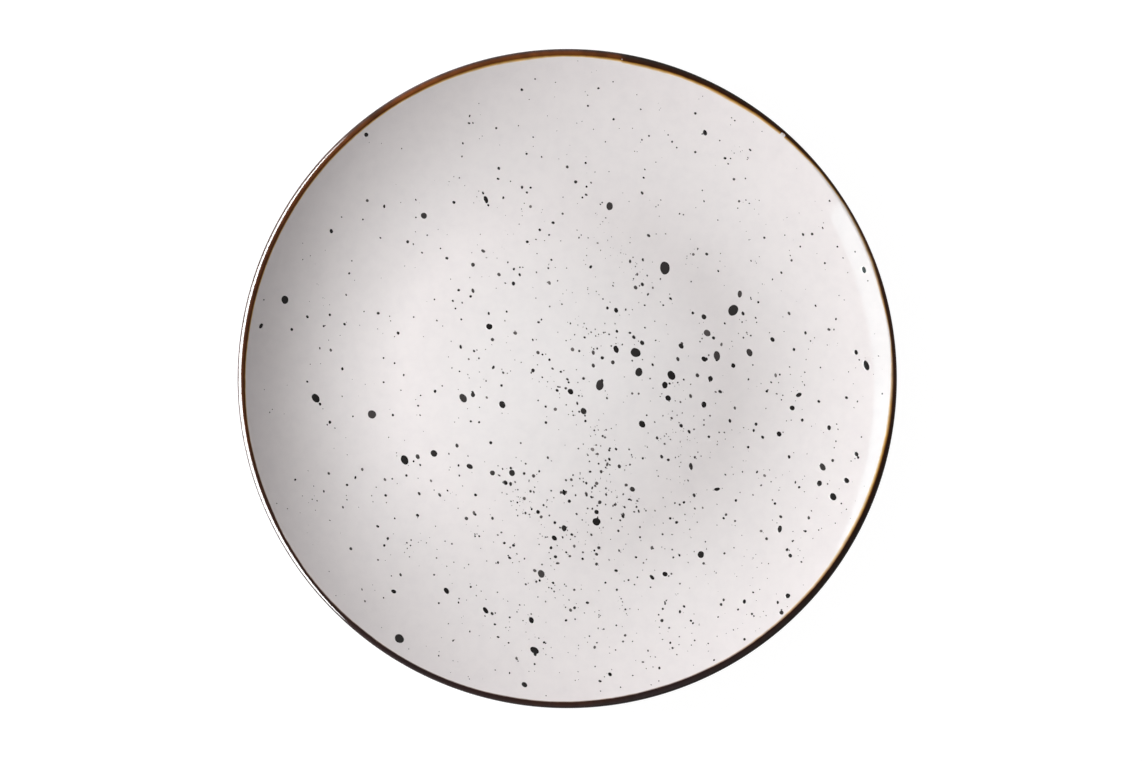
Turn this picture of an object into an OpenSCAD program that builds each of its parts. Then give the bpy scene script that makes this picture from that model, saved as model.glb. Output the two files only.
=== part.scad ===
// Coupe dinner plate: a fired clay body that wears its glazes as thin coats.
// The plate is round about Z, stands on Z = 0, and its eating face looks up.

/* [Plate] */
// Diameter over the lip
plate_d = 270; // [260:1:280]
// Height from the table to the top of the lip
plate_h = 27; // [25:0.5:30]
// Diameter of the flat well, where the wall starts to rise
well_d = 136; // [126:1:144]

/* [Clay] */
// Thickness of the clay under the well
floor_t = 4.65; // [4:0.05:5.5]
// Radius of the clay's rounded lip
lip_r = 2.1; // [1.8:0.1:2.4]

/* [Foot ring] */
// Outer diameter of the foot ring
foot_d = 168; // [164:1:176]
// Width of the foot ring
foot_w = 5.5; // [5:0.1:6.5]
// Height from the table to the underside of the clay, inside the foot ring
foot_h = 3; // [2.8:0.1:4]
// Radius of the two rounded edges that the plate stands on
foot_edge_r = 0.9; // [0.6:0.1:1.1]
// Radius of the fillets between the foot ring and the underside
foot_fillet_r = 1.5; // [1.2:0.1:1.6]

/* [Glazes] */
// Thickness of every glaze coat
glaze_t = 0.35; // [0.25:0.05:0.5]
// Height above the table where the glaze stops, so that the foot is bare
bare_h = 1.3; // [1.2:0.1:1.4]
// Angle from the top of the lip to the band's edge, on the eating side
band_turn = 4; // [0:1:20]
// Length of the band down the back, below the lip
band_back = 3; // [1:0.5:8]

/* [Spatter] */
// Radius of the largest drop
drop_r = 2.2; // [1.6:0.05:2.4]
// Depth of the drops in the glaze
drop_sink = 0.2; // [0.1:0.05:0.2]

/* [Hidden] */

$fn = 180;
// Largest gap between an arc of the outline and the straight steps along it
chord_gap = 0.01;
// How far the cutters run past what they cut
overrun = 1;

// Half the plate's outline, as clay: radius across, height up
well_r = well_d / 2;
floor_z = foot_h + floor_t;
lip_x = plate_d / 2 - glaze_t - lip_r;
lip_z = plate_h - glaze_t - lip_r;
run = lip_x - well_r;
rise = lip_z - floor_z;

// The wall's two faces are arcs that leave the floor level and end tangent to the lip
face_r = (run^2 + rise^2 - lip_r^2) / (2 * (rise + lip_r));
face_sweep = asin(run / (face_r + lip_r));
back_rise = rise + floor_t;
back_r = (run^2 + back_rise^2 - lip_r^2) / (2 * (back_rise - lip_r));
back_sweep = asin(run / (back_r - lip_r));
face_z = floor_z + face_r;
back_z = foot_h + back_r;
band_sweep = band_back / back_r * 180 / PI;

// The foot ring's fillets touch the back's arc on both sides of the ring, or the level
// underside of the well where the ring stands that far in
foot_out = foot_d / 2;
foot_in = foot_out - foot_w;
out_fillet_x = foot_out + foot_fillet_r;
in_fillet_x = foot_in - foot_fillet_r;
out_turn = asin(max(0, out_fillet_x - well_r) / (back_r + foot_fillet_r));
in_turn = asin(max(0, in_fillet_x - well_r) / (back_r + foot_fillet_r));
out_fillet_z = back_z - (back_r + foot_fillet_r) * cos(out_turn);
in_fillet_z = back_z - (back_r + foot_fillet_r) * cos(in_turn);

// The larger drops as [across, up, size], seen from above: the first two are shares of the
// plate's radius from its middle, and the third is a share of the largest drop's radius
drop_shares = [
    [0.30, 0.34, 1.00],
    [0.51, 0.21, 0.95],
    [0.21, 0.08, 0.85],
    [0.46, 0.07, 0.70],
    [0.22, 0.02, 0.70],
    [0.32, 0.01, 0.75],
    [0.10, -0.02, 0.80],
    [-0.51, -0.79, 0.85],
    [-0.60, -0.11, 0.75],
    [-0.77, -0.06, 0.75],
    [-0.50, -0.25, 0.75],
    [-0.32, -0.06, 0.70],
    [-0.86, 0.24, 0.70],
    [-0.08, -0.60, 0.65],
    [0.09, -0.44, 0.70],
    [0.81, -0.36, 0.65],
    [0.78, -0.27, 0.60],
    [0.91, 0.04, 0.70],
    [0.13, 0.53, 0.65],
    [0.41, -0.54, 0.60],
    [-0.41, -0.23, 0.60],
    [-0.17, -0.29, 0.55],
    [0.43, 0.14, 0.60],
    [-0.10, -0.83, 0.70],
    [0.23, -0.14, 0.60],
    [-0.20, -0.08, 0.60],
    [0.56, 0.08, 0.60],
    [-0.44, 0.50, 0.55],
    [-0.24, 0.16, 0.55],
    [0.30, -0.02, 0.55],
    [0.77, -0.32, 0.50],
    [0.85, -0.31, 0.50],
    [-0.37, -0.65, 0.50],
    [0.65, -0.46, 0.50],
    [0.53, 0.26, 0.50],
    [0.31, -0.06, 0.50],
    [0.05, -0.10, 0.55],
    [0.01, -0.04, 0.50],
    [0.15, 0.09, 0.55],
    [-0.25, -0.71, 0.50],
    [0.90, 0.33, 0.50],
    [-0.11, -0.74, 0.50],
    [-0.30, -0.27, 0.50],
    [0.42, -0.08, 0.50],
    [0.42, 0.75, 0.45],
    [-0.01, -0.46, 0.50],
    [-0.13, -0.93, 0.50],
    [0.65, -0.17, 0.45],
    [0.44, 0.00, 0.45],
    [0.20, -0.34, 0.45],
    [0.67, -0.66, 0.45],
    [0.71, -0.05, 0.45],
    [-0.25, 0.55, 0.50],
    [-0.29, 0.35, 0.35],
    [-0.46, -0.24, 0.40],
    [-0.23, -0.29, 0.45],
    [0.42, 0.06, 0.45],
    [0.69, -0.09, 0.45],
    [-0.04, -0.49, 0.45],
    [-0.61, 0.74, 0.40],
    [0.42, 0.19, 0.45],
    [0.23, 0.11, 0.40],
    [0.35, 0.10, 0.45],
    [-0.29, -0.05, 0.40],
    [0.88, 0.08, 0.40],
    [0.80, -0.15, 0.40],
    [0.63, 0.12, 0.40],
    [-0.53, -0.65, 0.40],
    [0.65, -0.71, 0.40],
    [-0.93, 0.16, 0.40],
    [-0.72, 0.45, 0.35],
    [-0.19, -0.32, 0.40],
    [0.38, -0.27, 0.45],
    [0.30, -0.60, 0.45],
    [0.46, -0.34, 0.40],
    [0.26, -0.61, 0.40],
    [0.15, 0.21, 0.40],
    [-0.01, -0.35, 0.40],
    [0.09, -0.41, 0.40],
    [0.88, -0.23, 0.40],
    [0.51, 0.04, 0.40],
    [0.54, -0.68, 0.35],
    [0.14, 0.05, 0.35],
    [-0.09, -0.41, 0.35],
    [0.68, -0.54, 0.35],
    [0.13, -0.90, 0.35]
];

// Straight steps that an arc needs to stay within the chord gap
function arc_steps(r, sweep) = max(2, ceil(abs(sweep) / (2 * acos(1 - chord_gap / r))));

// Points along an arc of the clay's outline, moved out from the clay by lift where side is 1,
// or in toward the arc's centre where side is -1
function arc_at(x, z, r, from, to, lift, side) = [
    for (step = [0 : arc_steps(r, to - from)])
        let (angle = from + (to - from) * step / arc_steps(r, to - from))
        [x + (r + side * lift) * cos(angle), z + (r + side * lift) * sin(angle)]
];

// Stretches of the outline, each lifted off the clay by the given amount
function face_line(lift) = concat(
    [[0, floor_z + lift]],
    arc_at(well_r, face_z, face_r, -90, face_sweep - 90, lift, -1),
    arc_at(lip_x, lip_z, lip_r, 90 + face_sweep, 90 + band_turn, lift, 1)
);
function band_line(lift) = concat(
    arc_at(lip_x, lip_z, lip_r, 90 + band_turn, back_sweep - 90, lift, 1),
    arc_at(well_r, back_z, back_r, back_sweep - 90, back_sweep - band_sweep - 90, lift, 1)
);
function back_line(lift) = concat(
    arc_at(well_r, back_z, back_r, back_sweep - band_sweep - 90, out_turn - 90, lift, 1),
    arc_at(out_fillet_x, out_fillet_z, foot_fillet_r, 90 + out_turn, 180, lift, -1),
    [[foot_out + lift, bare_h]]
);
function foot_line() = concat(
    [[foot_out, bare_h]],
    arc_at(foot_out - foot_edge_r, foot_edge_r, foot_edge_r, 0, -90, 0, 1),
    arc_at(foot_in + foot_edge_r, foot_edge_r, foot_edge_r, -90, -180, 0, 1),
    [[foot_in, bare_h]]
);
function foot_well_line(lift) = concat(
    [[foot_in - lift, bare_h]],
    arc_at(in_fillet_x, in_fillet_z, foot_fillet_r, 0, 90 + in_turn, lift, -1),
    in_turn > 0 ? arc_at(well_r, back_z, back_r, in_turn - 90, -90, lift, 1) : [],
    [[0, foot_h - lift]]
);

function backwards(points) = [for (i = [len(points) - 1 : -1 : 0]) points[i]];

// A coat on the clay between two lifts of the same stretch of outline
module coat(inner, outer) {
    rotate_extrude() polygon(concat(inner, backwards(outer)));
}

module drop_cylinders() {
    for (drop = drop_shares)
        translate([drop.x, drop.y, 0] * plate_d / 2) cylinder(r = drop_r * drop.z, h = plate_h + overrun);
}

module stoneware_body() {
    color("#c8b496") rotate_extrude() polygon(concat(
        face_line(0), band_line(0), back_line(0), foot_line(), foot_well_line(0)
    ));
}

module face_glaze() {
    color("#eeebea") difference() {
        coat(face_line(0), face_line(glaze_t));
        intersection() {
            drop_cylinders();
            coat(face_line(glaze_t - drop_sink), face_line(glaze_t + overrun));
        }
    }
}

module spatter_drops() {
    color("#35302f") intersection() {
        drop_cylinders();
        coat(face_line(glaze_t - drop_sink), face_line(glaze_t));
    }
}

module rim_band() {
    color("#4a2a1a") coat(band_line(0), band_line(glaze_t));
}

module back_glaze() {
    color("#e6e2df") coat(back_line(0), back_line(glaze_t));
}

module foot_well_glaze() {
    color("#e6e2df") coat(foot_well_line(0), foot_well_line(glaze_t));
}

stoneware_body();
face_glaze();
spatter_drops();
rim_band();
back_glaze();
foot_well_glaze();
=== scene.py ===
import math
import random

import bmesh
import bpy
from mathutils import Matrix, Vector, noise


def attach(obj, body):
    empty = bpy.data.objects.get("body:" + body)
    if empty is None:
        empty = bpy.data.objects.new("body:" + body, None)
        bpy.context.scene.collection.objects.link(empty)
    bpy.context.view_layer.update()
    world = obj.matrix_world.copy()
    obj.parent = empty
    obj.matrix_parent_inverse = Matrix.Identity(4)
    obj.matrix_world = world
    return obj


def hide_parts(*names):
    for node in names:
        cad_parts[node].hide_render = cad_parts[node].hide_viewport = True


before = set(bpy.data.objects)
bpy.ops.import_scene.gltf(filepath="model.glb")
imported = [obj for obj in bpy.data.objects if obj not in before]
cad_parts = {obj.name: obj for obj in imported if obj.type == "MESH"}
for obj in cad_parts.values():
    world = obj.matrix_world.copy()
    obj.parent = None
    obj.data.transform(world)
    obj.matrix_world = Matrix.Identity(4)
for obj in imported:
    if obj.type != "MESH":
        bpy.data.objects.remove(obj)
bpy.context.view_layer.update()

scene = bpy.context.scene
scene.view_settings.view_transform = "Standard"


# The camera: the plate is seen from straight above through a long lens, so that its lip
# is a true circle and the wall hides nothing. It stands a hair off the plate's middle.
mm = 0.001
camera_height = 1324.5 * mm
off_middle = (1.55 * mm, -0.79 * mm)
long_lens = 100
sensor_width = 36
overhead_data = bpy.data.cameras.new("overhead_camera")
overhead_data.lens = long_lens
overhead_data.sensor_width = sensor_width
overhead = bpy.data.objects.new("overhead_camera", overhead_data)
overhead.location = (*off_middle, camera_height)
scene.collection.objects.link(overhead)
scene.camera = overhead


# The clay body: one piece of stoneware, turned on the wheel to a flat well, a low curved
# wall, a round lip and a foot ring. It shows only at the foot, which is wiped bare of
# glaze, and there it is buff, gritty and a little toasted beside the glaze.
plate_radius = 135 * mm
plate_height = 27 * mm
well_radius = 68 * mm
floor_thickness = 4.65 * mm
lip_radius = 1.4 * mm
foot_outside = 84 * mm
foot_inside = 78.5 * mm
foot_height = 3 * mm
foot_edge_radius = 0.9 * mm
foot_fillet_radius = 1.5 * mm
glaze_thickness = 0.35 * mm
bare_height = 1.3 * mm
wheel_steps = 360
crease = math.radians(50)
straight_down = math.radians(90)

# The wall's two faces are arcs that leave the level and end tangent to the lip
floor_height = foot_height + floor_thickness
lip_across = plate_radius - glaze_thickness - lip_radius
lip_up = plate_height - glaze_thickness - lip_radius
wall_run = lip_across - well_radius
face_rise = lip_up - floor_height
back_rise = lip_up - foot_height
face_arc = (wall_run**2 + face_rise**2 - lip_radius**2) / (2 * (face_rise + lip_radius))
back_arc = (wall_run**2 + back_rise**2 - lip_radius**2) / (2 * (back_rise - lip_radius))
face_turn = math.asin(wall_run / (face_arc + lip_radius))
back_turn = math.asin(wall_run / (back_arc - lip_radius))
face_centre = (well_radius, floor_height + face_arc)
back_centre = (well_radius, foot_height + back_arc)
lip_centre = (lip_across, lip_up)
outer_fillet_across = foot_outside + foot_fillet_radius
inner_fillet_across = foot_inside - foot_fillet_radius
outer_fillet_turn = math.asin((outer_fillet_across - well_radius) / (back_arc + foot_fillet_radius))
inner_fillet_turn = math.asin((inner_fillet_across - well_radius) / (back_arc + foot_fillet_radius))
outer_fillet_centre = (
    outer_fillet_across,
    back_centre[1] - (back_arc + foot_fillet_radius) * math.cos(outer_fillet_turn),
)
inner_fillet_centre = (
    inner_fillet_across,
    back_centre[1] - (back_arc + foot_fillet_radius) * math.cos(inner_fillet_turn),
)


def start_outline(across, up):
    """Starts half of a piece's outline at a place across from the plate's axis and up."""
    outline = bmesh.new()
    return outline, outline.verts.new((across, 0, up))


def straight_to(outline, tip, across, up, steps=1):
    """Draws the outline straight on to a place, in equal steps."""
    stride = (Vector((across, 0, up)) - tip.co) / steps
    for _ in range(steps):
        tip = bmesh.ops.extrude_vert_indiv(outline, verts=[tip])["verts"][0]
        bmesh.ops.translate(outline, verts=[tip], vec=stride)
    return tip


def arc_by(outline, tip, centre, sweep, steps):
    """Draws the outline on along an arc about a centre, in equal steps."""
    spun = bmesh.ops.spin(
        outline, geom=[tip], cent=(centre[0], 0, centre[1]), axis=(0, -1, 0), angle=sweep, steps=steps
    )
    return [part for part in spun["geom_last"] if isinstance(part, bmesh.types.BMVert)][0]


def on_arc(centre, radius, angle):
    """The place on an arc at an angle up from level."""
    return centre[0] + radius * math.cos(angle), centre[1] + radius * math.sin(angle)


def turn_on_wheel(outline, steps=wheel_steps, same=0.001 * mm):
    """Turns a quarter of the piece, then doubles it twice to close the circle."""
    quarter = math.tau / 4
    bmesh.ops.spin(
        outline,
        geom=outline.verts[:] + outline.edges[:],
        cent=(0, 0, 0),
        axis=(0, 0, 1),
        angle=quarter,
        steps=steps // 4,
    )
    for turn in (quarter, 2 * quarter):
        so_far = outline.verts[:] + outline.edges[:] + outline.faces[:]
        twin = bmesh.ops.duplicate(outline, geom=so_far)["geom"]
        moved = [part for part in twin if isinstance(part, bmesh.types.BMVert)]
        bmesh.ops.rotate(outline, verts=moved, cent=(0, 0, 0), matrix=Matrix.Rotation(turn, 3, "Z"))
    bmesh.ops.remove_doubles(outline, verts=outline.verts, dist=same)
    bmesh.ops.recalc_face_normals(outline, faces=outline.faces)


def finish_piece(name, turned, material):
    """Puts a finished mesh in the scene, smooth but for its sharp creases."""
    mesh = bpy.data.meshes.new(name)
    turned.to_mesh(mesh)
    turned.free()
    mesh.shade_smooth()
    mesh.set_sharp_from_angle(angle=crease)
    mesh.materials.append(material)
    piece = bpy.data.objects.new(name, mesh)
    scene.collection.objects.link(piece)
    return piece


body, tip = start_outline(0, floor_height)
tip = straight_to(body, tip, well_radius, floor_height, steps=12)
tip = arc_by(body, tip, face_centre, face_turn, steps=30)
tip = arc_by(body, tip, lip_centre, -(math.pi + face_turn - back_turn), steps=40)
tip = arc_by(body, tip, back_centre, outer_fillet_turn - back_turn, steps=24)
tip = arc_by(body, tip, outer_fillet_centre, straight_down - outer_fillet_turn, steps=8)
tip = straight_to(body, tip, foot_outside, bare_height, steps=2)
tip = straight_to(body, tip, foot_outside, foot_edge_radius)
tip = arc_by(body, tip, (foot_outside - foot_edge_radius, foot_edge_radius), -straight_down, steps=8)
tip = straight_to(body, tip, foot_inside + foot_edge_radius, 0, steps=8)
tip = arc_by(body, tip, (foot_inside + foot_edge_radius, foot_edge_radius), -straight_down, steps=8)
tip = straight_to(body, tip, foot_inside, bare_height)
tip = straight_to(body, tip, foot_inside, inner_fillet_centre[1], steps=2)
tip = arc_by(body, tip, inner_fillet_centre, straight_down + inner_fillet_turn, steps=8)
tip = arc_by(body, tip, back_centre, -inner_fillet_turn, steps=6)
tip = straight_to(body, tip, 0, foot_height, steps=12)
turn_on_wheel(body)


def new_finish(name, roughness, ior):
    """A new material with its shine, and the nodes that its colour is built from."""
    finish = bpy.data.materials.new(name)
    finish.use_nodes = True
    shader = finish.node_tree.nodes["Principled BSDF"]
    shader.inputs["Roughness"].default_value = roughness
    shader.inputs["IOR"].default_value = ior
    return finish, finish.node_tree, shader


def grain(tree, cell, detail=2.0, roughness=0.5):
    """Soft noise with cells of one size, fixed to the piece."""
    place = tree.nodes.new("ShaderNodeTexCoord")
    texture = tree.nodes.new("ShaderNodeTexNoise")
    texture.inputs["Scale"].default_value = 1 / cell
    texture.inputs["Detail"].default_value = detail
    texture.inputs["Roughness"].default_value = roughness
    tree.links.new(place.outputs["Object"], texture.inputs["Vector"])
    return texture.outputs["Fac"]


def ramp(tree, factor, stops):
    """The colour that a factor reads off a row of [place from 0 to 1, colour]."""
    colours = tree.nodes.new("ShaderNodeValToRGB")
    colours.color_ramp.interpolation = "LINEAR"
    marks = colours.color_ramp.elements
    while len(marks) < len(stops):
        marks.new(0.5)
    for mark, (position, colour) in zip(marks, stops):
        mark.position = position
        mark.color = (*colour, 1)
    tree.links.new(factor, colours.inputs["Fac"])
    return colours.outputs["Color"]


def blend(tree, factor, first, second, way="MIX"):
    """Mixes two colours by a factor, each of them a plain value or another node's."""
    mix = tree.nodes.new("ShaderNodeMix")
    mix.data_type = "RGBA"
    mix.blend_type = way
    for socket, source in ((mix.inputs[0], factor), (mix.inputs[6], first), (mix.inputs[7], second)):
        if isinstance(source, (int, float)):
            socket.default_value = source
        elif isinstance(source, tuple):
            socket.default_value = (*source, 1)
        else:
            tree.links.new(source, socket)
    return mix.outputs[2]


def sums(tree, kind, first, second=None, third=None):
    """One sum on plain values or other nodes' values."""
    node = tree.nodes.new("ShaderNodeMath")
    node.operation = kind
    for socket, source in zip(node.inputs, (first, second, third)):
        if isinstance(source, (int, float)):
            socket.default_value = source
        elif source is not None:
            tree.links.new(source, socket)
    return node.outputs[0]


def relief(tree, height, depth, under=None):
    """Raises the surface with a height, on top of the relief under it."""
    bump = tree.nodes.new("ShaderNodeBump")
    bump.inputs["Strength"].default_value = 1
    bump.inputs["Distance"].default_value = depth
    tree.links.new(height, bump.inputs["Height"])
    if under is not None:
        tree.links.new(under, bump.inputs["Normal"])
    return bump.outputs["Normal"]


def place_on(tree, axis):
    """How far along an axis a place on the piece lies."""
    place = tree.nodes.new("ShaderNodeTexCoord")
    split = tree.nodes.new("ShaderNodeSeparateXYZ")
    tree.links.new(place.outputs["Object"], split.inputs[0])
    return split.outputs[axis]


clay_buff = (0.56, 0.44, 0.31)
clay_pale = (0.64, 0.53, 0.40)
clay_toasted = (0.40, 0.24, 0.13)
clay_grit = (0.16, 0.11, 0.08)
buff_patch = 6 * mm
toast_patch = 9 * mm
toast_height = 1.2 * mm
toast_start = 0.35
toast_most = 0.75
grit_size = 0.45 * mm
grit_mask = [(0.66, (0, 0, 0)), (0.72, (1, 1, 1))]
skin_size = 0.35 * mm
skin_depth = 0.05 * mm
clay, tree, shader = new_finish("fired_clay", roughness=0.85, ior=1.45)
tone = ramp(tree, grain(tree, buff_patch, detail=4, roughness=0.6), [(0.3, clay_buff), (0.7, clay_pale)])
toast = sums(tree, "MULTIPLY_ADD", place_on(tree, "Z"), 1 / toast_height, -toast_start)
toast = sums(tree, "MULTIPLY", toast, grain(tree, toast_patch, detail=3))
toast = sums(tree, "MINIMUM", sums(tree, "MAXIMUM", toast, 0), toast_most)
tone = blend(tree, toast, tone, clay_toasted)
tone = blend(tree, ramp(tree, grain(tree, grit_size, detail=1), grit_mask), tone, clay_grit)
tree.links.new(tone, shader.inputs["Base Color"])
rough_skin = relief(tree, grain(tree, skin_size, detail=3, roughness=0.65), skin_depth)
tree.links.new(rough_skin, shader.inputs["Normal"])

clay_body = finish_piece("turned_clay_body", body, clay)
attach(clay_body, "root")
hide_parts("stoneware_body")


# The face glaze: a glossy off-white coat poured over the eating face. It runs up the wall
# and a little way over the top of the lip, where the brown band is brushed over its edge.
glaze_white = (0.833, 0.805, 0.803)
glaze_cream = (0.807, 0.778, 0.775)
glaze_ior = 1.52
cloud_size = 55 * mm
mottle_size = 5 * mm
mottle_tint = (0.965, 0.965, 0.97)
wave_size = 14 * mm
wave_depth = 0.012 * mm
peel_size = 1.6 * mm
peel_depth = 0.0006 * mm
glaze_edge = math.radians(66)


def glaze_line(outline, tip, lift, inward):
    """Follows the clay's face at a lift, out from the middle to the lip or back again."""
    edge = on_arc(lip_centre, lip_radius + lift, glaze_edge)
    over_lip = straight_down + face_turn - glaze_edge
    if inward:
        tip = straight_to(outline, tip, *edge)
        tip = arc_by(outline, tip, lip_centre, over_lip, steps=10)
        tip = arc_by(outline, tip, face_centre, -face_turn, steps=24)
        return straight_to(outline, tip, 0, floor_height + lift, steps=4)
    tip = straight_to(outline, tip, well_radius, floor_height + lift, steps=24)
    tip = arc_by(outline, tip, face_centre, face_turn, steps=48)
    return arc_by(outline, tip, lip_centre, -over_lip, steps=20)


face, tip = start_outline(0, floor_height + glaze_thickness)
tip = glaze_line(face, tip, glaze_thickness, inward=False)
tip = glaze_line(face, tip, 0, inward=True)
turn_on_wheel(face)


def from_axis(tree):
    """How far a place on the piece lies from the middle of the well."""
    place = tree.nodes.new("ShaderNodeTexCoord")
    away = tree.nodes.new("ShaderNodeVectorMath")
    away.operation = "LENGTH"
    tree.links.new(place.outputs["Object"], away.inputs[0])
    return away.outputs["Value"]


# The coat is a little thicker in the middle of the well than on the wall. Over that, light and
# shade are painted in: the well's middle brighter, the wall darker and warmer, as
# [share of the plate's radius, brightness of red, green and blue]
painted_well_light_and_wall_shade = [
    (0.0, (1.075, 1.08, 1.08)), (0.3, (1.03, 1.03, 1.03)), (0.5, (0.995, 0.983, 0.983)),
    (0.7, (0.975, 0.968, 0.968)), (0.88, (0.945, 0.933, 0.933)), (0.96, (0.925, 0.91, 0.912)),
]


def glaze_finish(name, white, cream, roughness):
    """Off-white glaze with faint clouds and mottle, painted light in the well and painted shade up the
    wall, a slow wave and a fine peel.
    """
    finish, tree, shader = new_finish(name, roughness, glaze_ior)
    clouds = grain(tree, cloud_size, detail=3, roughness=0.55)
    tone = ramp(tree, clouds, [(0.35, white), (0.75, cream)])
    # Painted light and shade: the tone is brightened in the middle of the well and darkened and warmed up
    # the wall
    depth = ramp(tree, sums(tree, "MULTIPLY", from_axis(tree), 1 / plate_radius), painted_well_light_and_wall_shade)
    tone = blend(tree, 1.0, tone, depth, "MULTIPLY")
    mottle = grain(tree, mottle_size, detail=4, roughness=0.6)
    mottle = ramp(tree, mottle, [(0.3, mottle_tint), (0.6, (1, 1, 1))])
    tone = blend(tree, 1.0, tone, mottle, "MULTIPLY")
    tree.links.new(tone, shader.inputs["Base Color"])
    skin = relief(tree, grain(tree, wave_size, detail=2), wave_depth)
    skin = relief(tree, grain(tree, peel_size, detail=2), peel_depth, skin)
    tree.links.new(skin, shader.inputs["Normal"])
    return finish


face_glaze = glaze_finish("off_white_glaze", glaze_white, glaze_cream, roughness=0.04)
face_coat = finish_piece("face_glaze_coat", face, face_glaze)
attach(face_coat, "root")
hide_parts("face_glaze")


# The spatter's larger drops: dark oxide flicked off a brush onto the raw glaze and melted
# into it. Each is a low glassy bead where the CAD has its drop, mostly drawn out a little
# towards the lower right, as the brush threw them.
bead_rise = 0.035 * mm
melt_spread = 1.06
drop_black = (0.0085, 0.0075, 0.007)
drop_rim = (0.055, 0.048, 0.046)
drop_pale = (0.085, 0.074, 0.073)
drop_wobble = 0.05
drop_stretch = (1.08, 1.42)
drop_greyness = (0.05, 0.15)
throw = math.radians(-60)
throw_spread = 0.3


def on_face(across, up):
    """The glaze's surface point over a place on the plan, and the frame that stands on it."""
    out = math.hypot(across, up)
    clock = math.atan2(up, across)
    surface_arc = face_arc - glaze_thickness
    slope = math.asin(max(0, out - well_radius) / surface_arc)
    height = face_centre[1] - surface_arc * math.cos(slope)
    return (
        Matrix.Translation((across, up, height))
        @ Matrix.Rotation(clock, 4, "Z")
        @ Matrix.Rotation(-slope, 4, "Y")
        @ Matrix.Rotation(-clock, 4, "Z")
    )


def turn_bead(steps, rings):
    """One closed bead of radius 1, turned from its outline: (share of radius, rise, depth)."""
    bead = bmesh.new()
    depth = bead.verts.layers.float.new("depth")
    bead.verts.layers.float.new("paleness")
    tip = bead.verts.new((0, 0, 1))
    tip[depth] = 1
    for across, up, shade in rings:
        tip = bmesh.ops.extrude_vert_indiv(bead, verts=[tip])["verts"][0]
        tip.co = (across, 0, up)
        tip[depth] = shade
    turn_on_wheel(bead, steps, same=0.0001)
    return bead


def set_bead(beads, master, across, up, radius, stretch, lean, wobble, chance, rise, pale=0.0):
    """Adds a copy of the bead to the others, drawn out and uneven, where it lies on the face."""
    bead = master.copy()
    paleness = bead.verts.layers.float["paleness"]
    phases = [chance.uniform(0, math.tau) for _ in range(3)]
    for vert in bead.verts:
        vert[paleness] = pale
        around = math.atan2(vert.co.y, vert.co.x)
        swell = 1 + sum(
            wobble / order * math.cos(order * around + phase)
            for order, phase in zip((2, 3, 5), phases)
        )
        vert.co.x *= swell
        vert.co.y *= swell
    thin = stretch**-0.5
    shape = (
        on_face(across, up)
        @ Matrix.Rotation(lean, 4, "Z")
        @ Matrix.Diagonal((radius * stretch * thin, radius * thin, rise, 1))
    )
    bmesh.ops.transform(bead, matrix=shape, verts=bead.verts)
    loose = bpy.data.meshes.new("bead")
    bead.to_mesh(loose)
    bead.free()
    beads.from_mesh(loose)
    bpy.data.meshes.remove(loose)


def drops_in(node):
    """The place and radius of every drop of a CAD node, from its separate shells."""
    merged = bmesh.new()
    merged.from_mesh(node.data)
    bmesh.ops.remove_doubles(merged, verts=merged.verts, dist=0.001 * mm)
    waiting = set(merged.verts)
    drops = []
    while waiting:
        shell = [waiting.pop()]
        for vert in shell:
            for edge in vert.link_edges:
                other = edge.other_vert(vert)
                if other in waiting:
                    waiting.remove(other)
                    shell.append(other)
        lows = [min(vert.co[axis] for vert in shell) for axis in (0, 1)]
        highs = [max(vert.co[axis] for vert in shell) for axis in (0, 1)]
        middle = [(low + high) / 2 for low, high in zip(lows, highs)]
        drops.append((middle[0], middle[1], (highs[1] - lows[1]) / 2))
    merged.free()
    return sorted(drops)


# Drops that the brush drew out clearly, as [across, up, stretch, lean in degrees]
drawn_out = [
    (0.30, 0.34, 1.32, 90), (0.51, 0.21, 1.30, 54), (0.21, 0.08, 1.22, -37), (0.46, 0.07, 1.60, -83),
    (0.22, 0.02, 1.20, 86), (0.10, -0.02, 1.38, 80), (0.91, 0.04, 1.75, -67), (0.65, -0.46, 1.60, 85),
    (0.53, 0.26, 1.65, 84), (0.90, 0.33, 1.65, -70), (-0.25, 0.55, 1.90, -72), (-0.77, -0.06, 1.35, -50),
    (0.81, -0.36, 1.30, -55), (0.78, -0.27, 1.50, -58), (-0.93, 0.16, 1.65, 58), (-0.08, -0.60, 1.24, -68),
    (-0.10, -0.83, 1.55, -38), (-0.32, -0.06, 1.45, -58), (-0.37, -0.65, 1.65, -60),
    (-0.25, -0.71, 1.85, -52), (-0.30, -0.27, 1.50, -32), (0.13, 0.53, 1.34, 89),
    (0.71, -0.05, 1.45, 25), (0.38, -0.27, 2.00, -83), (0.46, -0.34, 1.90, 12),
    (0.26, -0.61, 1.90, -46), (-0.01, -0.35, 1.90, -73), (-0.51, -0.79, 1.12, -43),
    (-0.60, -0.11, 1.08, -55), (0.09, -0.44, 1.06, -37), (-0.44, 0.50, 1.08, -62),
    (0.41, -0.54, 1.15, 88),
]
# Drops that are thin and so dark grey, as [across, up, from 0 for black to 1 for grey]
thin_drops = [
    (0.43, 0.14, 1.0), (0.53, 0.26, 0.8), (0.46, 0.07, 0.55), (0.56, 0.08, 0.5), (0.10, -0.02, 0.35),
    (-0.60, -0.11, 0.6), (0.13, 0.53, 0.5), (-0.08, -0.60, 0.6), (0.14, 0.05, 0.7), (-0.29, 0.35, 0.7),
    (0.38, -0.27, 0.3), (-0.23, -0.29, 0.5), (-0.46, -0.24, 0.6), (0.78, -0.27, 0.4), (0.20, -0.34, 0.4),
]
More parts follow.
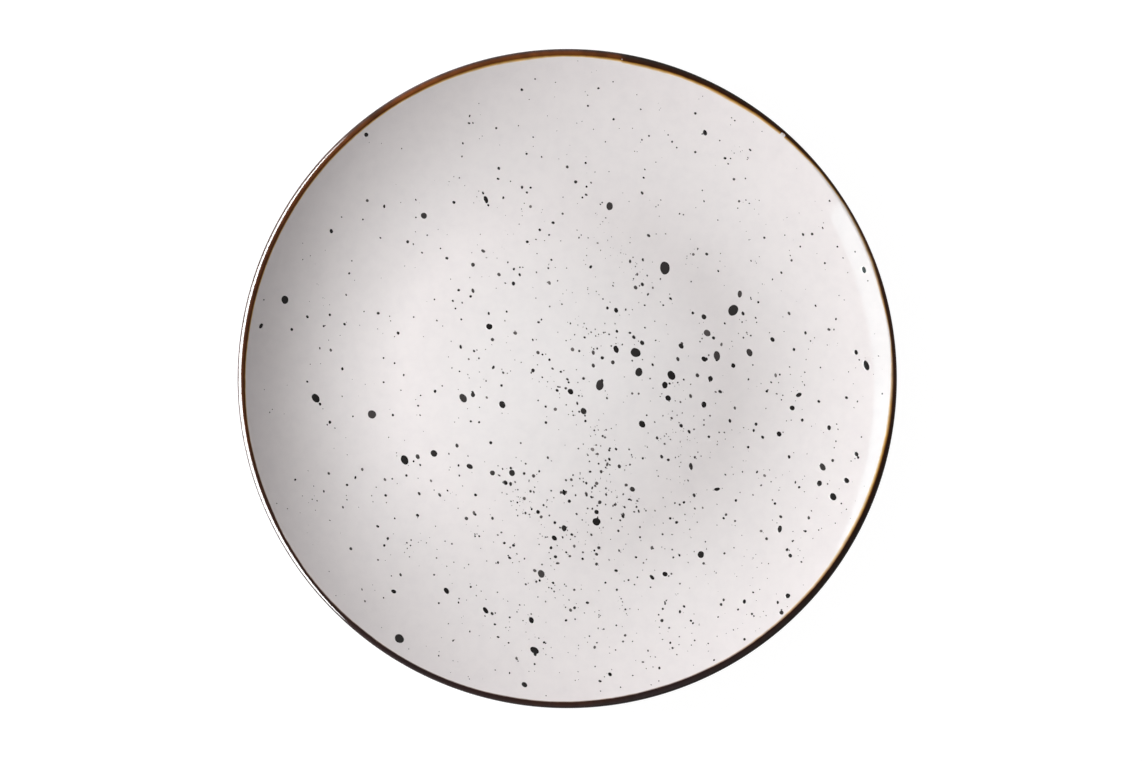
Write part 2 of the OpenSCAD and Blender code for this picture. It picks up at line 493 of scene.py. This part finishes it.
# Small drops that run out of a larger one, as [across, up, radius in mm]
tails = [
    (-0.757, -0.078, 0.60), (0.107, -0.006, 0.62), (-0.085, -0.620, 0.50), (-0.098, -0.842, 0.66),
    (0.459, 0.058, 0.62), (-0.259, 0.570, 0.55), (-0.243, 0.533, 0.50),
]
tail_stretch = 1.3
tail_wobble = 0.06
tail_rise = 0.7 * bead_rise
match_reach = 0.015
chance = random.Random(11)
drops = bmesh.new()
# A drop's outline from its top, as [share of its radius, share of its rise, depth of colour]
drop_rings = [
    (0.5, 0.99, 1.0), (0.78, 0.93, 0.95), (0.92, 0.72, 0.6), (0.985, 0.35, 0.2), (1.0, 0.0, 0.0),
    (0.97, -1.4, 0.0), (0.0, -1.4, 0.0),
]
master = turn_bead(steps=28, rings=drop_rings)
for across, up, radius in drops_in(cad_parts["spatter_drops"]):
    stretch = chance.uniform(*drop_stretch)
    lean = throw + chance.gauss(0, throw_spread)
    pale = max(0, chance.gauss(*drop_greyness))
    place = (across / plate_radius, up / plate_radius)
    for spot in drawn_out:
        if math.dist(place, spot[:2]) < match_reach:
            stretch, lean = spot[2], math.radians(spot[3])
    for spot in thin_drops:
        if math.dist(place, spot[:2]) < match_reach:
            pale = spot[2]
    set_bead(
        drops, master, across, up, radius * melt_spread, stretch, lean, drop_wobble, chance,
        bead_rise, pale,
    )
for across, up, radius in tails:
    set_bead(
        drops, master, across * plate_radius, up * plate_radius, radius * mm, tail_stretch,
        throw, tail_wobble, chance, tail_rise,
    )
master.free()


def own_value(tree, name):
    """A value that the mesh carries at its own points."""
    value = tree.nodes.new("ShaderNodeAttribute")
    value.attribute_name = name
    return value.outputs["Fac"]


oxide_patch = 0.9 * mm
patch_depth = 0.5
oxide_skin = 0.7 * mm
oxide_skin_depth = 0.002 * mm


def spatter_finish(name, middle, rim, pale):
    """Glassy oxide, dark in the middle of a bead and thinner at its rim."""
    finish, tree, shader = new_finish(name, roughness=0.10, ior=1.5)
    patch = sums(tree, "MULTIPLY_ADD", grain(tree, oxide_patch, detail=3), patch_depth, -patch_depth / 2)
    fade = sums(tree, "ADD", own_value(tree, "depth"), patch)
    tone = ramp(tree, fade, [(0.05, rim), (0.45, middle)])
    tone = blend(tree, own_value(tree, "paleness"), tone, pale)
    tree.links.new(tone, shader.inputs["Base Color"])
    skin = relief(tree, grain(tree, oxide_skin, detail=2), oxide_skin_depth)
    tree.links.new(skin, shader.inputs["Normal"])
    return finish


drop_finish = spatter_finish("melted_oxide", drop_black, drop_rim, drop_pale)
drop_beads = finish_piece("spatter_drop_beads", drops, drop_finish)
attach(drop_beads, "root")
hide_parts("spatter_drops")


# The fine spatter: the same oxide in hundreds of specks too small to stand up much from
# the glaze. They lie thickest in the middle and towards the lower right, and come in clumps.
speck_black = (0.024, 0.021, 0.021)
speck_rim = (0.22, 0.20, 0.20)
speck_pale = (0.24, 0.215, 0.21)
speck_rise = 0.008 * mm
# The larger specks as [across, up, radius in mm], across and up as shares of the radius
larger_specks = [
    (-0.10, -0.59, 0.78), (0.81, -0.25, 0.75), (0.54, 0.20, 0.82), (0.26, -0.52, 0.76),
    (-0.31, -0.43, 0.80), (0.08, 0.08, 0.76), (0.08, 0.04, 0.74), (0.68, -0.24, 0.78),
    (0.64, 0.01, 0.78), (0.29, -0.74, 0.79), (0.01, -0.71, 0.79), (0.10, -0.92, 0.76),
    (-0.37, 0.37, 0.68), (-0.49, 0.42, 0.72), (-0.09, 0.08, 0.70), (0.15, -0.59, 0.77),
    (-0.46, -0.42, 0.70), (-0.55, -0.49, 0.66), (-0.05, -0.52, 0.69), (0.80, 0.15, 0.74),
    (0.47, -0.69, 0.72), (0.21, 0.28, 0.78), (0.40, 0.01, 0.78), (0.00, 0.65, 0.70),
    (0.72, 0.44, 0.68), (0.23, 0.57, 0.70), (0.25, 0.44, 0.72), (-0.73, -0.29, 0.66),
    (-0.56, -0.31, 0.64), (0.29, -0.24, 0.70), (0.51, 0.61, 0.65), (-0.30, 0.78, 0.58),
    (-0.21, 0.32, 0.71), (-0.23, -0.72, 0.76), (0.34, 0.06, 0.76), (-0.29, 0.27, 0.74),
    (-0.16, 0.14, 0.74), (0.50, -0.13, 0.75), (0.64, -0.68, 0.75), (0.68, 0.20, 0.74),
    (0.16, -0.27, 0.75), (0.60, -0.18, 0.75), (0.61, -0.49, 0.74), (0.10, -0.38, 0.74),
    (-0.52, 0.14, 0.70), (0.28, -0.88, 0.72), (0.73, 0.14, 0.70), (0.77, -0.07, 0.73),
    (0.47, -0.04, 0.73), (-0.23, 0.12, 0.70), (-0.69, 0.03, 0.68), (0.58, -0.14, 0.74),
    (0.09, -0.57, 0.72), (0.09, -0.54, 0.72), (-0.51, -0.60, 0.68),
]
larger_stretch = (1.08, 1.6)
larger_greyness = (0.12, 0.2)
larger_wobble = 0.07
# How many fine specks there are of each size, as [count, smallest, largest radius in mm]
fine_sizes = [
    (120, 0.08, 0.12), (200, 0.12, 0.16), (305, 0.16, 0.21), (290, 0.21, 0.27), (220, 0.27, 0.35),
    (235, 0.35, 0.44), (160, 0.44, 0.56), (115, 0.56, 0.68), (75, 0.68, 0.82),
]
fine_drawing_out = (0.15, 0.3)
fine_most = 2.2
fine_greyness = (0.02, 0.3)
fine_spread = 0.4
fine_wobble = 0.08
clump_share = 0.30
clump_reach = 7 * mm
clump_narrowing = 0.4
specks_end = 0.965
# The spatter is thickest about its heart, with a smaller heap at the crown, in shares
heart_place = (0.23, -0.49)
heart_spread = (0.6, 0.76)
heart_height = 0.86
crown_place = (-0.1, 0.62)
crown_spread = (0.25, 0.25)
crown_height = 0.13
everywhere = 0.13
rim_start = 0.75
rim_width = 0.2
rim_thinning = 0.22


def heap(across, up, place, spread):
    """How high a rounded heap stands at a place, from 1 at its middle."""
    aside = (across - place[0]) / spread[0]
    along = (up - place[1]) / spread[1]
    return math.exp(-(aside**2 + along**2) / 2)


def speck_density(across, up):
    """How thick the fine spatter lies at a place given in shares of the plate's radius."""
    heart = heap(across, up, heart_place, heart_spread)
    crown = heap(across, up, crown_place, crown_spread)
    rim = min(1, max(0, (math.hypot(across, up) - rim_start) / rim_width))
    heaps = everywhere + heart_height * heart + crown_height * crown
    return heaps * (1 - rim_thinning * rim)


chance = random.Random(7)
specks = bmesh.new()
# A speck's outline from its top, as for a drop
speck_rings = [(0.62, 0.9, 0.8), (1.0, 0.0, 0.0), (0.0, -3.0, 0.0)]
master = turn_bead(steps=12, rings=speck_rings)
for across, up, radius in larger_specks:
    set_bead(
        specks, master, across * plate_radius, up * plate_radius, radius * mm * melt_spread,
        chance.uniform(*larger_stretch), throw + chance.gauss(0, throw_spread), larger_wobble,
        chance, speck_rise, max(0, chance.gauss(*larger_greyness)),
    )
spots = []
for count, smallest, largest in fine_sizes:
    while count:
        if spots and chance.random() < clump_share:
            near = chance.choice(spots)
            along = chance.gauss(0, clump_reach)
            aside = chance.gauss(0, clump_reach * clump_narrowing)
            across = near[0] + along * math.cos(throw) - aside * math.sin(throw)
            up = near[1] + along * math.sin(throw) + aside * math.cos(throw)
        else:
            across = chance.uniform(-plate_radius, plate_radius)
            up = chance.uniform(-plate_radius, plate_radius)
        shares = (across / plate_radius, up / plate_radius)
        if math.hypot(*shares) > specks_end or chance.random() > speck_density(*shares):
            continue
        spots.append((across, up))
        radius = chance.uniform(smallest, largest) * mm
        stretch = min(1 + abs(chance.gauss(*fine_drawing_out)), fine_most)
        set_bead(
            specks, master, across, up, radius, stretch, throw + chance.gauss(0, fine_spread),
            fine_wobble, chance, speck_rise, max(0, chance.gauss(*fine_greyness)),
        )
        count -= 1
master.free()
speck_finish = spatter_finish("fine_oxide", speck_black, speck_rim, speck_pale)
fine_specks = finish_piece("fine_spatter_specks", specks, speck_finish)
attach(fine_specks, "root")


# The rim band: brown banding glaze brushed round the lip by hand on the wheel. Its inner
# edge wanders and thins to amber over the white, and on the right the stroke's end laps
# over its start.
# Its outline is drawn first with the brown's edge straight up over the lip, at band_inner,
# and each place between there and the hinge is then slid to where the brush reached
band_lift = glaze_thickness + 0.03 * mm
band_feather = glaze_thickness + 0.006 * mm
band_bed = glaze_thickness - 0.05 * mm
band_inner = math.radians(90)
band_fringe = math.radians(20)
band_swell = math.radians(20)
band_taper = math.radians(2)
band_hinge = math.radians(45)
band_down_back = 3.0 * mm
back_feather = 0.5 * mm
back_undercut = 0.1 * mm
band_steps = 720
# Where the brown begins, as [clock angle from the right, mm in from the plate's edge]
band_reach = [
    (0, 1.68), (8, 1.64), (15, 1.70), (22, 1.15), (30, 0.97), (38, 1.15), (45, 1.54), (48, 1.66),
    (48.5, 1.2), (49, 1.72), (53, 1.92), (60, 2.35), (68, 2.67), (75, 2.87), (78.6, 3.02),
    (80, 2.98), (80.6, 2.70), (90, 2.74), (105, 2.71), (120, 2.76), (135, 2.93), (142, 3.02),
    (150, 3.20), (165, 3.24), (172, 3.25), (180, 3.08), (188, 2.86), (202, 2.87), (210, 2.54),
    (218, 2.28), (225, 2.32), (232, 2.49), (240, 2.43), (248, 2.43), (262, 2.58), (270, 2.68),
    (278, 2.94), (285, 3.08), (300, 2.94), (308, 2.96), (315, 2.88), (322, 2.68), (330, 2.60),
    (338, 2.42), (345, 2.23), (352, 1.78), (360, 1.68),
]
# How wide the thinned edge inside the brown is, as [clock angle, mm]
band_thinning = [
    (0, 1.15), (8, 0.4), (15, 0.92), (22, 1.0), (38, 0.65), (45, 0.95), (52, 1.1), (60, 1.25), (68, 1.0),
    (75, 1.2), (82, 1.0), (90, 0.7), (98, 1.15), (105, 1.02), (112, 0.8), (120, 0.6), (135, 0.55),
    (150, 0.42), (160, 0.4), (180, 0.4), (195, 0.22), (210, 0.22), (218, 0.38), (240, 0.32), (270, 0.42),
    (292, 0.5), (300, 0.66), (308, 0.72), (315, 0.93), (330, 1.2), (345, 1.2), (352, 1.35), (360, 1.15),
]
# How amber the thinned edge is, as [clock angle, from 0 for plain to 1 for amber]
band_amber = [
    (0, 0.6), (15, 0.7), (30, 0.7), (38, 1.0), (52, 1.25), (76, 1.25), (90, 1.1), (120, 0.95), (135, 0.9),
    (150, 0.95), (180, 1.0), (190, 0.5), (205, 0.12), (220, 0.0), (285, 0.0), (300, 0.15), (308, 0.5),
    (330, 0.8), (345, 1.1), (352, 0.95), (360, 0.6),
]
# How rusty the brown is, as [clock angle, from 0 for umber to 1 for rust]
band_rust = [
    (0, 0.2), (15, 0.22), (25, 0.40), (35, 0.30), (45, 0.16), (60, 0.10), (79.5, 0.08), (81, 0.6),
    (84, 0.40), (87, 0.75), (90, 0.75), (105, 0.66), (112, 0.9), (118, 1.1), (122, 0.75), (126, 0.3),
    (129, 0.55), (133, 0.75), (138, 0.65), (145, 0.6), (150, 0.6), (160, 0.45), (172, 0.45), (185, 0.38),
    (200, 0.15), (225, 0.04), (240, 0.0), (255, 0.03), (270, 0.12), (285, 0.0), (330, 0.0), (350, 0.08),
    (360, 0.2),
]


def read_round(table, degrees):
    """The value at a clock angle, eased from one row of the table to the next."""
    for (start, before), (end, after) in zip(table, table[1:]):
        if start <= degrees <= end:
            share = (degrees - start) / (end - start)
            share = share * share * (3 - 2 * share)
            return before + (after - before) * share
    return table[-1][1]


band, tip = start_outline(*on_arc(lip_centre, lip_radius + band_feather, band_inner + band_fringe))
tip = arc_by(band, tip, lip_centre, -band_fringe, steps=12)
for share in (0.2, 0.4, 0.6, 0.8, 1.0):
    swell = band_feather + (band_lift - band_feather) * share
    over = band_inner - band_swell * share
    tip = straight_to(band, tip, *on_arc(lip_centre, lip_radius + swell, over))
tip = arc_by(band, tip, lip_centre, band_swell + glaze_edge - band_inner, steps=10)
tip = arc_by(band, tip, lip_centre, back_turn - straight_down - glaze_edge, steps=34)
tip = arc_by(band, tip, back_centre, -band_down_back / back_arc, steps=8)
back_edge = back_turn - straight_down - (band_down_back + back_feather) / back_arc
tip = straight_to(band, tip, *on_arc(back_centre, back_arc + band_feather, back_edge))
bed_edge = back_edge + back_undercut / back_arc
tip = straight_to(band, tip, *on_arc(back_centre, back_arc + band_bed, bed_edge))
tip = arc_by(band, tip, back_centre, back_turn - straight_down - bed_edge, steps=3)
band_end = band_inner + band_fringe
tip = arc_by(band, tip, lip_centre, straight_down - back_turn + band_end - band_taper, steps=24)
tip = straight_to(band, tip, *on_arc(lip_centre, lip_radius + band_feather, band_end))
turn_on_wheel(band, band_steps)


def over_lip_and_wall(lift, over):
    """The place at an angle over the lip, which runs on down the wall where the lip's arc ends."""
    lip_end = straight_down + face_turn
    if over <= lip_end:
        return on_arc(lip_centre, lip_radius + lift, over)
    down_wall = (over - lip_end) * lip_radius / face_arc
    return on_arc(face_centre, face_arc - lift, face_turn - straight_down - down_wall)


def over_lip_at(inset):
    """The angle over the lip, run on down the wall as above, of a place in from the plate's edge."""
    lip_end = straight_down + face_turn
    across = plate_radius - inset
    turn = (across - lip_across) / (lip_radius + glaze_thickness)
    if turn > math.cos(lip_end):
        return math.acos(turn)
    slope = math.asin((across - well_radius) / (face_arc - glaze_thickness))
    return lip_end + (face_turn - slope) * face_arc / lip_radius


# The mm of brown that the colours below are laid over
line_length = 7.0
# How far and how quickly the hand-held brush wandered round the lip, as [mm, pace]
band_wander = [(0.06, 9), (0.05, 35), (0.035, 72)]
droop_size = 0.6 * mm
droop_pace = 6
droop_phase = Vector((3, 1, 7))
rust_mottle = 0.35
rust_pace = 25
amber_mottle = 0.25
amber_pace = 30
amber_phase = Vector((5, 2, 4))
from_edge = band.verts.layers.float.new("from_edge")
rust = band.verts.layers.float.new("rust")
amber = band.verts.layers.float.new("amber")
glazed_lip = lip_radius + band_lift
# Slides the band's two edges to where the brush left them, and keeps at each place how far
# in from the nearer edge it lies, how rusty it is and how amber
for vert in band.verts:
    clock = math.atan2(vert.co.y, vert.co.x)
    degrees = math.degrees(clock) % 360
    out = math.hypot(vert.co.x, vert.co.y)
    ripple = Vector((math.cos(clock), math.sin(clock), 0))
    wander = sum(size * noise.noise(ripple * pace) for size, pace in band_wander)
    inset = (read_round(band_reach, degrees) + wander) * mm
    reach = over_lip_at(inset)
    thinning = over_lip_at(inset + read_round(band_thinning, degrees) * mm) - reach
    over = math.atan2(vert.co.z - lip_up, out - lip_across)
    if over > band_hinge:
        lift = math.hypot(vert.co.z - lip_up, out - lip_across) - lip_radius
        if over > band_inner:
            over = reach + (over - band_inner) * thinning / band_fringe
        else:
            over += (reach - band_inner) * (over - band_hinge) / (band_inner - band_hinge)
        across, up = over_lip_and_wall(lift, over)
        vert.co = (across * math.cos(clock), across * math.sin(clock), up)
    inner_gap = 1 + (reach - over) * glazed_lip / mm
    if over > reach:
        inner_gap = (reach + thinning - over) / thinning
    if over < back_turn - straight_down:
        down = math.atan2(vert.co.z - back_centre[1], math.hypot(vert.co.x, vert.co.y) - back_centre[0])
        outer_gap = (down - back_edge) * back_arc / mm
        droop = droop_size * noise.noise(ripple * droop_pace + droop_phase)
        slip = droop * (back_turn - straight_down - down) * back_arc / band_down_back
        turned = down - slip / back_arc
        radius = math.hypot(vert.co.z - back_centre[1], out - back_centre[0])
        across, up = on_arc(back_centre, radius, turned)
        vert.co = (across * math.cos(clock), across * math.sin(clock), up)
    else:
        outer_gap = line_length
    vert[from_edge] = min(inner_gap, outer_gap)
    rusty_here = read_round(band_rust, degrees)
    vert[rust] = rusty_here * (1 + rust_mottle * noise.noise(ripple * rust_pace))
    amber_here = read_round(band_amber, degrees)
    vert[amber] = amber_here + amber_mottle * noise.noise(ripple * amber_pace + amber_phase)
bmesh.ops.recalc_face_normals(band, faces=band.faces)

# The colours in from the band's inner edge: 0 to 1 is the thinned edge, and from there on
# the steps are mm of full brown
amber_edge = [
    (0.0, glaze_white), (0.25, (0.72, 0.56, 0.36)), (0.5, (0.58, 0.37, 0.15)), (0.75, (0.42, 0.22, 0.045)),
]
plain_edge = [
    (0.0, glaze_white), (0.25, (0.76, 0.72, 0.715)), (0.5, (0.60, 0.54, 0.53)), (0.75, (0.36, 0.29, 0.28)),
]
# From about 2.5 to 4 mm in, on the lip's outer shoulder, each row of browns turns lighter and greyer. That
# is a painted sheen: the room's reflection painted into the brown
umber_and_sheen_steps = [
    (1.0, (0.19, 0.08, 0.012)), (1.2, (0.05, 0.016, 0.002)), (1.5, (0.018, 0.005, 0.0006)),
    (2.0, (0.018, 0.006, 0.002)), (2.5, (0.024, 0.012, 0.007)), (3.2, (0.03, 0.02, 0.015)),
    (7.0, (0.025, 0.016, 0.013)),
]
smoky_and_sheen_steps = [
    (1.0, (0.18, 0.13, 0.12)), (1.2, (0.022, 0.011, 0.0105)), (2.0, (0.020, 0.011, 0.011)),
    (2.6, (0.034, 0.021, 0.021)), (3.2, (0.045, 0.032, 0.031)), (7.0, (0.022, 0.015, 0.014)),
]
rust_and_sheen_steps = [
    (1.0, (0.24, 0.10, 0.015)), (1.3, (0.14, 0.04, 0.004)), (1.9, (0.21, 0.06, 0.010)),
    (2.4, (0.20, 0.06, 0.016)), (2.9, (0.14, 0.056, 0.032)), (3.3, (0.13, 0.072, 0.062)),
    (4.0, (0.13, 0.085, 0.078)), (7.0, (0.05, 0.03, 0.025)),
]
ragged_size = 1.5 * mm
ragged_depth = 0.03
streak_size = 3 * mm
streak_tones = [(0.3, (0.8, 0.8, 0.8)), (0.7, (1.1, 1.08, 1.05))]
brush_size = 2.2 * mm
brush_depth = 0.004 * mm
band_finish, tree, shader = new_finish("brown_banding_glaze_with_painted_sheen", roughness=0.07, ior=1.33)
ragged = sums(tree, "MULTIPLY_ADD", grain(tree, ragged_size, detail=3), ragged_depth, -ragged_depth / 2)
along = sums(tree, "MULTIPLY_ADD", own_value(tree, "from_edge"), 1 / line_length, ragged)


def colours_along(edge, steps):
    """The colours from the thinned edge on into the brown, read off how far in a place is."""
    return ramp(tree, along, [(step / line_length, colour) for step, colour in edge + steps])


# The smoky, umber and rust browns all carry the painted sheen on the lip's outer shoulder
smoky_and_sheen = colours_along(plain_edge, smoky_and_sheen_steps)
umber_and_sheen = blend(tree, own_value(tree, "amber"), smoky_and_sheen, colours_along(amber_edge, umber_and_sheen_steps))
rust_and_sheen = colours_along(amber_edge, rust_and_sheen_steps)
tone = blend(tree, own_value(tree, "rust"), umber_and_sheen, rust_and_sheen)
streak = ramp(tree, grain(tree, streak_size, detail=4, roughness=0.6), streak_tones)
tone = blend(tree, 1.0, tone, streak, "MULTIPLY")
tree.links.new(tone, shader.inputs["Base Color"])
brush_marks = relief(tree, grain(tree, brush_size, detail=2), brush_depth)
tree.links.new(brush_marks, shader.inputs["Normal"])
rim_band = finish_piece("brushed_rim_band", band, band_finish)
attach(rim_band, "root")
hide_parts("rim_band")


# The back glaze: the same off-white on the back of the wall, from under the band down to
# the foot ring, where it was wiped off and ends in a soft, slightly wavy bead.
back_white = (0.82, 0.785, 0.775)
back_cream = (0.78, 0.74, 0.72)
line_wander = 0.22 * mm
line_pace = 5
line_fine_pace = 21
line_fine_share = 0.5
bead_height = 0.4 * mm
bead_soft = 0.3 * mm
lap_under_band = 1.2 * mm
back_start = back_turn - straight_down - lap_under_band / back_arc
back_finish = glaze_finish("back_off_white_glaze", back_white, back_cream, roughness=0.08)


def wave_the_line(mesh):
    """Lets the glaze's lower edge on the foot ring rise and fall a little."""
    for vert in mesh.verts:
        if vert.co.z < bare_height + bead_height:
            clock = math.atan2(vert.co.y, vert.co.x)
            ripple = Vector((math.cos(clock), math.sin(clock), 0))
            weight = min(1, (bare_height + bead_height - vert.co.z) / bead_soft)
            fine_wave = line_fine_share * noise.noise(ripple * line_fine_pace)
            wave = noise.noise(ripple * line_pace) + fine_wave
            vert.co.z += weight * line_wander * wave


back, tip = start_outline(*on_arc(back_centre, back_arc + glaze_thickness, back_start))
tip = arc_by(back, tip, back_centre, outer_fillet_turn - straight_down - back_start, steps=40)
tip = arc_by(back, tip, outer_fillet_centre, straight_down - outer_fillet_turn, steps=10)
tip = straight_to(back, tip, foot_outside + glaze_thickness, bare_height + glaze_thickness, steps=2)
tip = arc_by(back, tip, (foot_outside, bare_height + glaze_thickness), -straight_down, steps=6)
tip = straight_to(back, tip, foot_outside, outer_fillet_centre[1], steps=2)
tip = arc_by(back, tip, outer_fillet_centre, outer_fillet_turn - straight_down, steps=6)
tip = arc_by(back, tip, back_centre, back_start - outer_fillet_turn + straight_down, steps=24)
tip = straight_to(back, tip, *on_arc(back_centre, back_arc + glaze_thickness, back_start))
turn_on_wheel(back)
wave_the_line(back)
back_coat = finish_piece("back_glaze_coat", back, back_finish)
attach(back_coat, "root")
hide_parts("back_glaze")


# The foot well glaze: the coat inside the foot ring, over the flat underside. It hangs
# one glaze's thickness below the clay and ends on the ring's inner side in the same bead.
under, tip = start_outline(0, foot_height - glaze_thickness)
tip = straight_to(under, tip, well_radius, foot_height - glaze_thickness, steps=16)
tip = arc_by(under, tip, back_centre, inner_fillet_turn, steps=6)
tip = arc_by(under, tip, inner_fillet_centre, -straight_down - inner_fillet_turn, steps=10)
tip = straight_to(under, tip, foot_inside - glaze_thickness, bare_height + glaze_thickness)
tip = arc_by(under, tip, (foot_inside, bare_height + glaze_thickness), straight_down, steps=6)
tip = straight_to(under, tip, foot_inside, inner_fillet_centre[1], steps=2)
tip = arc_by(under, tip, inner_fillet_centre, straight_down + inner_fillet_turn, steps=6)
tip = arc_by(under, tip, back_centre, -inner_fillet_turn, steps=6)
tip = straight_to(under, tip, 0, foot_height, steps=8)
turn_on_wheel(under)
wave_the_line(under)
well_coat = finish_piece("foot_well_glaze_coat", under, back_finish)
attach(well_coat, "root")
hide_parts("foot_well_glaze")


# The studio: a small soft lamp on the left and a wide one overhead light the plate. An oval
# lamp only draws the gleam along the lip, and two panes the one on the far wall. The room is
# plain and pale, and the table is seen as plain white, with the plate's faint shadow on it.
def new_lamp(name, wide, tall, energy, shape="RECTANGLE"):
    """A soft lamp of a size in metres that the camera doesn't see. It faces straight down."""
    data = bpy.data.lights.new(name, "AREA")
    data.shape = shape
    data.size = tall
    data.size_y = wide
    data.energy = energy
    lamp = bpy.data.objects.new(name, data)
    lamp.visible_camera = False
    scene.collection.objects.link(lamp)
    return lamp


def face_right(lamp, place, turn=0, roll=0):
    """Sets a lamp up to face right, turned about Z and rolled in its own plane, in degrees."""
    lamp.matrix_world = (
        Matrix.Translation(place)
        @ Matrix.Rotation(math.radians(turn), 4, "Z")
        @ Matrix.Rotation(math.radians(roll), 4, "X")
        @ Matrix.Rotation(-straight_down, 4, "Y")
    )


softbox = new_lamp("softbox", wide=0.36, tall=0.14, energy=7.5)
face_right(softbox, (-0.632, 0.092, 0.335), turn=-21)
overhead_fill = new_lamp("overhead_fill", wide=3.0, tall=3.0, energy=4.95)
overhead_fill.location = (0, 0, 1.6)
for plain_light in (softbox, overhead_fill):
    plain_light.visible_glossy = False
lip_gleam = new_lamp("lip_gleam", wide=0.42, tall=0.17, energy=10.8, shape="ELLIPSE")
face_right(lip_gleam, (-0.19, 0.0, 0.116), roll=10)
upper_pane = new_lamp("upper_pane", wide=0.37, tall=0.13, energy=0.33)
face_right(upper_pane, (-0.57, -0.18, 0.526), roll=-11)
lower_pane = new_lamp("lower_pane", wide=0.40, tall=0.12, energy=0.42)
face_right(lower_pane, (-0.57, 0.20, 0.488), roll=-2.3)
for gleam in (lip_gleam, upper_pane, lower_pane):
    gleam.visible_diffuse = False
pane_daylight = (0.72, 1.0, 1.0)
for pane in (upper_pane, lower_pane):
    pane.data.color = pane_daylight

room_tone = (0.268, 0.262, 0.262)
world = bpy.data.worlds.new("studio_room")
scene.world = world
world.use_nodes = True
tree = world.node_tree
room = tree.nodes["Background"]
seen = tree.nodes.new("ShaderNodeLightPath")
backdrop = blend(tree, seen.outputs["Is Camera Ray"], room_tone, (1.0, 1.0, 1.0))
tree.links.new(backdrop, room.inputs["Color"])
room.inputs["Strength"].default_value = 1

table_half = 3.0
table_drop = 0.02 * mm
table_grey = (0.8, 0.8, 0.8, 1)
shadow_share = 0.16
table_glow = 0.952
table = bmesh.new()
bmesh.ops.create_grid(table, x_segments=2, y_segments=2, size=table_half)
bmesh.ops.translate(table, verts=table.verts, vec=(0, 0, -table_drop))
white_table = bpy.data.materials.new("white_table")
white_table.use_nodes = True
tree = white_table.node_tree
plain = tree.nodes["Principled BSDF"]
plain.inputs["Base Color"].default_value = table_grey
plain.inputs["Roughness"].default_value = 0.9
plain.inputs["Specular IOR Level"].default_value = 0
faint = tree.nodes.new("ShaderNodeBsdfDiffuse")
faint.inputs["Color"].default_value = (shadow_share, shadow_share, shadow_share, 1)
glow = tree.nodes.new("ShaderNodeEmission")
glow.inputs["Strength"].default_value = table_glow
lit = tree.nodes.new("ShaderNodeAddShader")
tree.links.new(faint.outputs[0], lit.inputs[0])
tree.links.new(glow.outputs[0], lit.inputs[1])
seen = tree.nodes.new("ShaderNodeLightPath")
choice = tree.nodes.new("ShaderNodeMixShader")
tree.links.new(seen.outputs["Is Camera Ray"], choice.inputs[0])
tree.links.new(plain.outputs[0], choice.inputs[1])
tree.links.new(lit.outputs[0], choice.inputs[2])
tree.links.new(choice.outputs[0], tree.nodes["Material Output"].inputs["Surface"])
table_top = finish_piece("table_top", table, white_table)
